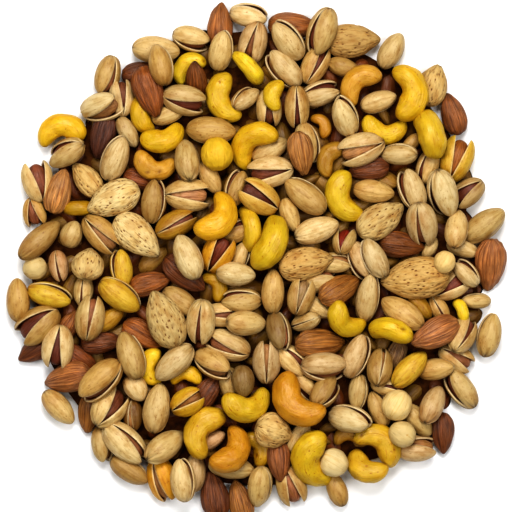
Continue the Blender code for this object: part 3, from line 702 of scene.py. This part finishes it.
# The keel of an almond's shell: how high and how narrow. Then its waves, the grooves in it, and
# where it is golden between the waves.
KEEL_HEIGHT, KEEL_SHARPNESS = 0.05, 12
SHELL_WAVES = Dents(3.5 * MM, aspect=0.4, depth=0.025, shade=0.10)
SHELL_GROOVES = Dents(1.4 * MM, aspect=0.3, depth=0.03, shade=0.35)
GROOVE_RANGE, GROOVE_TONE = (0.30, 0.55), linear("7A4E24")
GOLDEN_WAVES, GOLDEN_WAVES_SHARE = (0.05, 0.5), 0.5
# The crease along a cashew's hollow side: how deep and how narrow.
CREASE_DEPTH, CREASE_SHARPNESS = 0.08, 4
# The tones at a cashew's ends and on its hollow side: from where on, and how strong.
CASHEW_END_TONE, CASHEW_END_START, CASHEW_END_SHARE = linear("C08418"), 0.88, 0.4
HOLLOW_TONE, HOLLOW_START, HOLLOW_SHARE = linear("D89A24"), 0.5, 0.5
# Its few pits: how many, how wide, how deep, their tone and how strong.
PIT_COUNTS, PIT_REACH, PIT_DEPTH = (0, 1, 1, 2), 1.1 * MM, 0.16
PIT_TONE, PIT_SHARE = linear("8A5414"), 0.8


def almond(nut, tone, seed):
    """A shelled almond: a flat drop with a pointed end and shallow dents along it."""
    x, turn = ALMOND.x, ALMOND.turn
    points = body(nut, x, turn, girth("almond", x) * tip("almond", x))
    points, tint = ALMOND_DENTS.on(points, tone, seed)
    tip_share = fade(x, ALMOND_TIP_START) * ALMOND_TIP_SHARE
    return points, blend(tint, tone * ALMOND_TIP_TONE, tip_share)


def shell_almond(nut, tone, seed):
    """An almond in its shell, with a keel along both sides, waves and shallow grooves."""
    x, turn = SHELL_ALMOND.x, SHELL_ALMOND.turn
    keel = 1 + KEEL_HEIGHT * np.abs(np.sin(turn)) ** KEEL_SHARPNESS
    points = body(nut, x, turn, girth("shell_almond", x) * tip("shell_almond", x), wider=keel)
    waves = SHELL_WAVES.at(points, seed)
    grooves = fade(SHELL_GROOVES.at(points, seed + GROOVE_SEED), *GROOVE_RANGE)
    points *= 1 + SHELL_WAVES.depth * waves[:, None] - SHELL_GROOVES.depth * grooves[:, None]
    tint = tone * (1 + SHELL_WAVES.shade * waves[:, None])
    tint = blend(tint, GROOVE_TONE, grooves * SHELL_GROOVES.shade)
    return points, blend(tint, tone * GOLDEN_SHADE, fade(-waves, *GOLDEN_WAVES) * GOLDEN_WAVES_SHARE)


def cashew(nut, tone, seed):
    """A cashew: bent, fuller at its thick end, with a crease in its hollow side and a few pits."""
    x, turn = CASHEW.x, CASHEW.turn
    width, thickness = half_sizes(nut)
    size = girth("cashew", x)
    crease = CREASE_DEPTH * np.clip(-np.sin(turn), 0, 1) ** CREASE_SHARPNESS * (1 - x**2)
    outward = size * width * (1 - crease) * np.sin(turn)
    points = np.column_stack((*middle_line(nut, x, outward), size * thickness * np.cos(turn)))
    middle = np.column_stack((*middle_line(nut, x), 0 * x))
    dents = CASHEW_DENTS.at(points, seed)[:, None]
    points += (points - middle) * CASHEW_DENTS.depth * dents
    tint = tone * (1 + CASHEW_DENTS.shade * dents)
    tint = blend(tint, CASHEW_END_TONE, fade(np.abs(x), CASHEW_END_START) * CASHEW_END_SHARE)
    tint = blend(tint, HOLLOW_TONE, fade(-np.sin(turn), HOLLOW_START) * (1 - x**2) * HOLLOW_SHARE)
    draw = random.Random(seed)
    for _ in range(draw.choice(PIT_COUNTS)):
        spot = points[draw.randrange(len(points))]
        near = np.exp(-((points - spot) ** 2).sum(1) / PIT_REACH**2)
        points -= (points - middle) * PIT_DEPTH * near[:, None]
        tint = blend(tint, PIT_TONE, near * PIT_SHARE)
    return points, tint


def hazelnut(nut, tone, seed):
    """A blanched hazelnut: a ball that narrows a little from its base to its point."""
    x, turn = HAZELNUT.x, HAZELNUT.turn
    return HAZELNUT_DENTS.on(body(nut, x, turn, girth("hazelnut", x)), tone, seed)


# Materials


def node(tree, kind, **inputs):
    """A node with these inputs set or linked."""
    made = tree.nodes.new("ShaderNode" + kind)
    for name, value in inputs.items():
        socket = made.inputs[name.replace("_", " ")]
        if isinstance(value, bpy.types.NodeSocket):
            tree.links.new(value, socket)
        else:
            socket.default_value = value
    return made


def drawn_pattern(tree, grain, along, across, pattern="noise"):
    """A noise over the nut, or cells for pits, this long and this wide in millimetres."""
    scaled = node(tree, "VectorMath")
    scaled.operation = "MULTIPLY"
    tree.links.new(grain, scaled.inputs[0])
    scaled.inputs[1].default_value = (1 / along, 1 / across, 1 / across)
    if pattern == "pits":
        return node(tree, "TexVoronoi", Vector=scaled.outputs[0], Scale=1.0).outputs["Distance"]
    return node(tree, "TexNoise", Vector=scaled.outputs[0], Scale=1.0, Detail=3.0).outputs["Fac"]


def blank(name, roughness, specular):
    """A plain material and its shader."""
    material = bpy.data.materials.new(name)
    material.use_nodes = True
    shader = material.node_tree.nodes["Principled BSDF"]
    shader.inputs["Roughness"].default_value = roughness
    shader.inputs["Specular IOR Level"].default_value = specular
    return material, shader


def nut_skin(name, roughness, specular, marks, relief):
    """A skin in the nut's tint, with marks multiplied onto it and relief raised on it.

    A mark is (long, wide, from, to, tone) and a relief (long, wide, height), of noise or else of
    the pattern that is named last.
    """
    material, shader = blank(name, roughness, specular)
    tree = material.node_tree
    read = {attribute: node(tree, "Attribute") for attribute in ("tint", "grain")}
    for attribute, reader in read.items():
        reader.attribute_name = attribute
    colour = read["tint"].outputs["Color"]
    grain = read["grain"].outputs["Vector"]
    for along, across, low, high, tone, *pattern in marks:
        drawn = drawn_pattern(tree, grain, along, across, *pattern)
        share = node(tree, "MapRange", Value=drawn, From_Min=low, From_Max=high)
        mix = node(tree, "Mix")
        mix.data_type = "RGBA"
        mix.blend_type = "MULTIPLY"
        tree.links.new(share.outputs["Result"], mix.inputs["Factor"])
        tree.links.new(colour, mix.inputs["A"])
        mix.inputs["B"].default_value = (*tone, 1)
        colour = mix.outputs["Result"]
    tree.links.new(colour, shader.inputs["Base Color"])
    normal = None
    for along, across, height, *pattern in relief:
        drawn = drawn_pattern(tree, grain, along, across, *pattern)
        bump = node(tree, "Bump", Height=drawn, Distance=height * MM, Strength=1.0)
        if normal:
            tree.links.new(normal, bump.inputs["Normal"])
        normal = bump.outputs["Normal"]
    tree.links.new(normal, shader.inputs["Normal"])
    return material


def skins():
    """The material of each piece."""
    shell_relief = [(12, 1.4, 0.4), (3, 2.2, 0.3), (5, 0.6, 0.12)]
    shell = nut_skin("pistachio_shell", 0.42, 0.35, [
        (12, 1.6, 0.50, 0.80, (0.76, 0.68, 0.54)),
        (5, 3.0, 0.46, 0.70, (0.80, 0.70, 0.54)),
        (1.6, 0.9, 0.60, 0.72, (0.66, 0.54, 0.40)),
    ], shell_relief)
    return {
        "pistachio_shells": shell,
        "yellow_pistachio_shells": nut_skin("dyed_pistachio_shell", 0.42, 0.35, [
            (12, 1.6, 0.50, 0.80, (0.80, 0.66, 0.46)),
            (5, 3.0, 0.46, 0.70, (0.84, 0.72, 0.50)),
            (1.6, 0.9, 0.60, 0.72, (0.68, 0.50, 0.32)),
        ], shell_relief),
        "pistachio_kernels": nut_skin("pistachio_kernel", 0.42, 0.35, [
            (8, 0.8, 0.45, 0.70, (0.60, 0.48, 0.40)),
            (3, 2, 0.50, 0.70, (0.80, 0.80, 0.50)),
        ], [(8, 0.8, 0.5)]),
        "almonds": nut_skin("almond_skin", 0.4, 0.4, [
            (16, 0.8, 0.50, 0.62, (0.58, 0.48, 0.40)),
            (12, 0.6, 0.52, 0.64, (1.45, 1.40, 1.25)),
            (5, 0.5, 0.60, 0.70, (0.60, 0.50, 0.45)),
            (4, 3, 0.45, 0.75, (0.80, 0.74, 0.68)),
        ], [(14, 0.8, 0.8), (4, 0.5, 0.3)]),
        "almonds_in_shells": nut_skin("almond_shell", 0.6, 0.2, [
            (3.2, 1.7, 0.28, 0.14, (0.34, 0.21, 0.12), "pits"),
            (7, 0.5, 0.62, 0.68, (0.55, 0.40, 0.26)),
            (5, 4, 0.45, 0.70, (0.88, 0.78, 0.62)),
        ], [(3.2, 1.7, 0.5, "pits"), (6, 0.7, 0.4)]),
        "cashews": nut_skin("cashew_skin", 0.36, 0.35, [
            (6, 4, 0.45, 0.72, (0.88, 0.78, 0.45)),
            (1.8, 1.1, 0.64, 0.72, (0.66, 0.42, 0.20)),
            (8, 0.7, 0.60, 0.72, (0.86, 0.72, 0.45)),
            (0.8, 0.8, 0.45, 0.75, (0.94, 0.88, 0.75)),
        ], [(5, 3, 0.6), (8, 0.8, 0.25)]),
        "hazelnuts": nut_skin("hazelnut_skin", 0.5, 0.3, [
            (8, 0.8, 0.54, 0.74, (0.88, 0.78, 0.58)),
            (2, 2, 0.64, 0.74, (0.85, 0.70, 0.48)),
        ], [(6, 0.8, 0.3), (3, 2, 0.4)]),
        "nuts_below": shell,
        # The core's dark brown, in darker patches, is painted shade for the deep gaps.
        "core": nut_skin("core_painted_shade", 0.8, 0.1, [
            (4, 4, 0.45, 0.70, (0.4, 0.35, 0.3)),
        ], [(3, 3, 1.0)]),
    }


# The heap

# The dark core: how far it lies inside the core of the CAD solid, how high it is beside it, how
# finely it is divided, and its lumps. Its dark brown tone is painted shade for the deep gaps.
CORE_SETBACK, CORE_SHARE = 6 * MM, 0.6
CORE_RINGS, CORE_SIDES = 10, 4 * CORE_STEPS
CORE_LUMPS, CORE_LUMP_HEIGHT, CORE_LUMP_SEED = Dents(7 * MM), 1.2 * MM, 3
CORE_SHADE_TONE = linear("5E3818")
# The nuts that lie over it and only show in the gaps: how close, how far out and how deep they
# lie, how far out of their rows and how steep, and their kinds, lengths, seams and tones. Their
# tones are darker than those of the nuts on top, as painted shade.
BELOW_SPACING, BELOW_REACH, BELOW_DEPTH = 13 * MM, 0.93, 1 * MM
BELOW_SHIFT, BELOW_SLOPE = 0.3, 0.3
BELOW_KINDS, BELOW_LENGTHS = ("pistachio", "pistachio", "almond"), (18, 23)
BELOW_SEAM = (0.06, 16)
BELOW_SHADED_TONES, BELOW_BRIGHTNESS = tones("A07C3C 8C682C AA8444 784420 8E5428"), (0.8, 1.1)
BELOW_DRAW = 11
# The tones that are drawn for each kind, and how bright these and the kernels' are.
KIND_TONES = {
    "pistachio": tones("E8CC9A E0C28A EAD0A2 DCBA80 E6C89E D4B072 EED4A8 E2C692"),
    "almond": tones("B87A42 AC6E38 A06331 BD814D 97592B B27440"),
    "shell_almond": tones("E4C48C DEBA80 E8CC98"),
    "cashew": tones("F4D240 F0C836 F6D848 E8C034 F6D240"),
    "hazelnut": tones("F0D6A2 ECCE96 F2DCB0"),
}
YELLOW_TONES = tones("E8C040 DEB030 E4BC44 EAC850")
BRIGHTNESS, KERNEL_BRIGHTNESS = (0.86, 1.10), (0.8, 1.15)

# The nuts and the kernels with a tone of their own, by the nut's place in the lists.
OWN_TONES = {
    "EED8AE": ((93.5, 34.5), (-34, 2.5), (47, -78.5), (-10, -6), (-77.5, 77.5)),
    "E4CCA4": ((59, 2.5), (83, 19)),
    "F2DAAC": ((-27.5, -30), (-63.5, -89.5), (44.5, 73)),
    "ECD09C": ((-72.5, -74), (-5, -30.5)),
    "D8BA84": ((-62.5, -46.5), (33, 115.5), (-7.5, -19)),
    "C4A26A": ((62, -52.5), (-63.5, -104.5), (-108.5, 11), (34.5, -65), (-51, 30.5)),
    "A88C60": ((-6.5, -59.5), (11.5, -34.5)),
    "CAAE80": ((106.5, 35),),
    "DCB690": ((-99, -2), (-22, -89.5)),
    "8A6634": ((-61, -75),),
    "C49A3C": ((-40, 19), (-73, -29), (82.5, -22)),
    "F0CC74": ((1.5, 32.5),),
    "E8C450": ((-67.5, -3), (-68, -16.5), (77, -53.5), (100.5, 52)),
    "EEB63C": ((-19, 4.5), (-47, -109)),
    "F6DEAE": ((-59.5, 13), (-71.5, 31.5)),
    "CCAA74": ((48.5, 111),),
    "EACB94": ((9, -84.5),),
    "8E5A2C": ((-28.5, 91), (73, 8.5)),
    "86522F": ((-58, 94.5), (56.5, 46.5), (-110, -43.5), (-78.5, -41.5), (-36.5, -6.5),
               (-23, -64.5), (-20.5, -116), (93.5, -86)),
    "6E4434": ((-77, 63),),
    "C8945E": ((-99, 35.5), (22.5, 54)),
    "B07C42": ((42, -13.5), (32, -40), (-84, -76.5), (-9.5, -120)),
    "9C7C58": ((71, -45),),
    "A0683C": ((11.5, -99.5), (99, 74.5)),
    "C08658": ((117.5, -1.5), (-95.5, -56.5), (89, -35.5)),
    "E0B050": ((52, 88.5), (-50.5, 49)),
    "CC983A": ((32.5, 68.5),),
    "E6C440": ((-5, -71), (-3.5, 17), (-17, 82), (87, 66)),
    "F0C038": ((-20, 23),),
    "C8A030": ((-89.5, 27), (-21, -12), (0, -93.5)),
    "E2BC42": ((61, -91.5), (56, -102), (-28, -85)),
    "BE9440": ((37, 51.5), (47, -88)),
    "DCA438": ((20.5, -69), (-13, -93.5)),
    "F0C83E": ((-19.5, 54),),
    "E0C898": ((-111, -3),),
}
OWN_KERNEL_TONES = {
    "A0402C": ((44, 10.5),), "96503A": ((97, -13),), "B0906A": ((22.5, -17),),
    "B0702E": ((100.5, 52),), "8E4A30": ((-19, 4.5),), "A8743A": ((-36, -70),),
    "7E4634": ((-109, -31.5), (-98.5, -44)), "8E5840": ((-72.5, -74),), "D09C74": ((-34, 33.5),),
}


def by_place(own_tones):
    """The tone of each place in such a list."""
    return {spot: linear(code) for code, places in own_tones.items() for spot in places}


def spot_of(home):
    """The nut's place as the lists give it, in millimetres."""
    return round(home.x / MM, 1), round(home.y / MM, 1)


def tone_of(home, own, kind_tones, brightness, seed):
    """The nut's own tone, or a drawn one of its kind."""
    draw = random.Random(seed)
    drawn = draw.choice(kind_tones) * draw.uniform(*brightness)
    return own.get(spot_of(home), drawn)


def add_nuts_below(piece, reach):
    """Shut nuts below those that show, over the core, by a seeded draw."""
    draw = random.Random(BELOW_DRAW)
    rows = int(MAP_HALF / BELOW_SPACING)
    for number, (column, row) in enumerate(itertools.product(range(-rows, rows + 1), repeat=2)):
        x = (column + draw.uniform(-BELOW_SHIFT, BELOW_SHIFT)) * BELOW_SPACING
        y = (row + draw.uniform(-BELOW_SHIFT, BELOW_SHIFT)) * BELOW_SPACING
        kind = draw.choice(BELOW_KINDS)
        heading, roll = draw.uniform(0, 360), draw.uniform(0, 90)
        slope = draw.uniform(-BELOW_SLOPE, BELOW_SLOPE)
        length = draw.uniform(*BELOW_LENGTHS)
        # A tone darker than those of the nuts on top: painted shade for the gaps.
        tone = draw.choice(BELOW_SHADED_TONES) * draw.uniform(*BELOW_BRIGHTNESS)
        step = math.atan2(y, x) / math.tau * CORE_STEPS % CORE_STEPS
        rim = float(np.interp(step, range(CORE_STEPS + 1), [*reach, reach[0]]))
        share = math.hypot(x, y) / rim
        if share > BELOW_REACH:
            continue
        nut = laid(kind, x / MM, y / MM, heading, roll, 0, length, 0)
        z = core_top(share) - BELOW_DEPTH - SHARES[kind][1] * nut.length / 2
        size = girth(kind, KERNEL.x) * (1 - seam(KERNEL.turn, *BELOW_SEAM))
        points = body(nut, KERNEL.x, KERNEL.turn, size)
        grain = around(nut, KERNEL.x, KERNEL.turn)
        place = lie(nut, z, slope)
        piece.add(place, points, KERNEL.faces, grain, tone, number + BELOW_SEED)


def add_core(piece, reach):
    """The heart of the heap, well below its surface, dark brown as painted shade for the deep gaps.
    """
    sides, rings = CORE_SIDES, CORE_RINGS
    turn = np.arange(sides) * math.tau / sides
    directions = np.arange(CORE_STEPS) * math.tau / CORE_STEPS
    rim = np.interp(turn, directions, reach, period=math.tau) - CORE_SETBACK
    across, back = rim * np.cos(turn), rim * np.sin(turn)
    rows = [(ring / rings, CORE_SHARE * core_top(ring / rings)) for ring in range(1, rings + 1)]
    places = [(0, 0, CORE_SHARE * core_top(0))]
    for share, top in [*rows, (1, 0)]:
        places += [(x * share, y * share, top) for x, y in zip(across, back)]
    places = np.array([*places, (0, 0, 0)])
    lifted = places[:, 2] > 0
    places[lifted, 2] += CORE_LUMP_HEIGHT * CORE_LUMPS.at(places[lifted], CORE_LUMP_SEED)
    last = len(places) - 1
    after = [(k + 1) % sides for k in range(sides)]
    faces = [[0, 1 + k, 1 + after[k]] for k in range(sides)]
    for ring in range(rings):
        low, high = 1 + ring * sides, 1 + (ring + 1) * sides
        faces += [[low + k, high + k, high + after[k], low + after[k]] for k in range(sides)]
    base = 1 + rings * sides
    faces += [[last, base + after[k], base + k] for k in range(sides)]
    piece.add(Matrix(), places, faces, places, CORE_SHADE_TONE, 0)


def build(materials):
    """Every piece of the heap."""
    pieces = {name: Piece(name, material) for name, material in materials.items()}
    dyed = {(x, y) for x, y, *_ in YELLOW_PISTACHIOS}
    own, own_kernels = by_place(OWN_TONES), by_place(OWN_KERNEL_TONES)
    kinds = {
        "almond": (almond, ALMOND, "almonds"),
        "shell_almond": (shell_almond, SHELL_ALMOND, "almonds_in_shells"),
        "cashew": (cashew, CASHEW, "cashews"),
        "hazelnut": (hazelnut, HAZELNUT, "hazelnuts"),
    }
    nuts = all_nuts()
    moved = eased(nuts)
    reach = core_reach(moved)
    for seed, (home, (nut, z, slope)) in enumerate(zip(nuts, settled(moved, reach))):
        place = lie(nut, z, slope)
        is_dyed = spot_of(home) in dyed
        kind_tones = YELLOW_TONES if is_dyed else KIND_TONES[nut.kind]
        tone = tone_of(home, own, kind_tones, BRIGHTNESS, seed + TONE_SEED)
        if nut.kind == "pistachio":
            shells = pieces["yellow_pistachio_shells" if is_dyed else "pistachio_shells"]
            kernel_seed = seed + KERNEL_TONE_SEED
            kernel_tone = tone_of(home, own_kernels, KERNEL_TONES, KERNEL_BRIGHTNESS, kernel_seed)
            add_pistachio(shells, pieces["pistachio_kernels"], nut, place, tone, kernel_tone, seed)
        else:
            shape, ball, name = kinds[nut.kind]
            points, tint = shape(nut, tone, seed)
            grain = around(nut, ball.x, ball.turn)
            pieces[name].add(place, points, ball.faces, grain, tint, seed)
    add_nuts_below(pieces["nuts_below"], reach)
    add_core(pieces["core"], reach)
    for piece in pieces.values():
        piece.finish()


# The stage

# The camera's sensor in millimetres, how far it stands, how wide and how far it sees, and where.
SENSOR = 36
VIEW_DISTANCE, VIEW_WIDTH, VIEW_END = 2.0, 0.256, 10
VIEW_MIDDLE, VIEW_HEIGHT = 3 * MM, 14 * MM
VIEW_GAMMA = 0.94
# The even light from all round, and the floor.
FILL = 0.04
FLOOR_SIZE, FLOOR_WHITE = 6, (0.9, 0.9, 0.9, 1)
FLOOR_ROUGHNESS, FLOOR_SPECULAR = 0.9, 0.1
# The soft lights: (name, direction in degrees from the right, power in watts).
SOFTBOXES = (
    ("softbox_back", 90, 32), ("softbox_left", 180, 14),
    ("softbox_front", 270, 5), ("softbox_right", 0, 15),
)
LIGHT_DISTANCE, LIGHT_SIZE, LIGHT_ELEVATION = 2.2, 0.9, math.radians(58)


def add_floor():
    """A white floor, which is the stage and no part of the heap."""
    bpy.ops.mesh.primitive_plane_add(size=FLOOR_SIZE)
    floor = bpy.context.object
    floor.name = "floor"
    material, shader = blank("white_floor", FLOOR_ROUGHNESS, FLOOR_SPECULAR)
    shader.inputs["Base Color"].default_value = FLOOR_WHITE
    floor.data.materials.append(material)


def add_light(name, direction, power):
    """A square soft light in this direction, which faces the heap."""
    angle = math.radians(direction)
    away = LIGHT_DISTANCE * math.cos(LIGHT_ELEVATION)
    height = LIGHT_DISTANCE * math.sin(LIGHT_ELEVATION)
    place = (away * math.cos(angle), away * math.sin(angle), height)
    light = bpy.data.lights.new(name, "AREA")
    light.shape = "SQUARE"
    light.size = LIGHT_SIZE
    light.energy = power
    lamp = bpy.data.objects.new(name, light)
    lamp.location = place
    lamp.rotation_euler = (-Vector(place)).to_track_quat("-Z", "Y").to_euler()
    bpy.context.scene.collection.objects.link(lamp)


def add_camera():
    """The photograph's view from straight above, with the whole heap in its frame."""
    camera = bpy.data.cameras.new("camera")
    camera.sensor_width = SENSOR
    camera.lens = SENSOR * VIEW_DISTANCE / VIEW_WIDTH
    camera.clip_end = VIEW_END
    eye = bpy.data.objects.new("camera", camera)
    eye.location = (0, VIEW_MIDDLE, VIEW_HEIGHT + VIEW_DISTANCE)
    bpy.context.scene.collection.objects.link(eye)
    bpy.context.scene.camera = eye


def add_world():
    """A faint even light from all round."""
    world = bpy.data.worlds.new("studio")
    world.use_nodes = True
    background = world.node_tree.nodes["Background"]
    background.inputs["Color"].default_value = (1, 1, 1, 1)
    background.inputs["Strength"].default_value = FILL
    bpy.context.scene.world = world


def main():
    """The heap on its stage."""
    build(skins())
    add_floor()
    for softbox in SOFTBOXES:
        add_light(*softbox)
    add_world()
    add_camera()
    bpy.context.scene.view_settings.view_transform = "Standard"
    bpy.context.scene.view_settings.look = "High Contrast"
    bpy.context.scene.view_settings.gamma = VIEW_GAMMA


main()
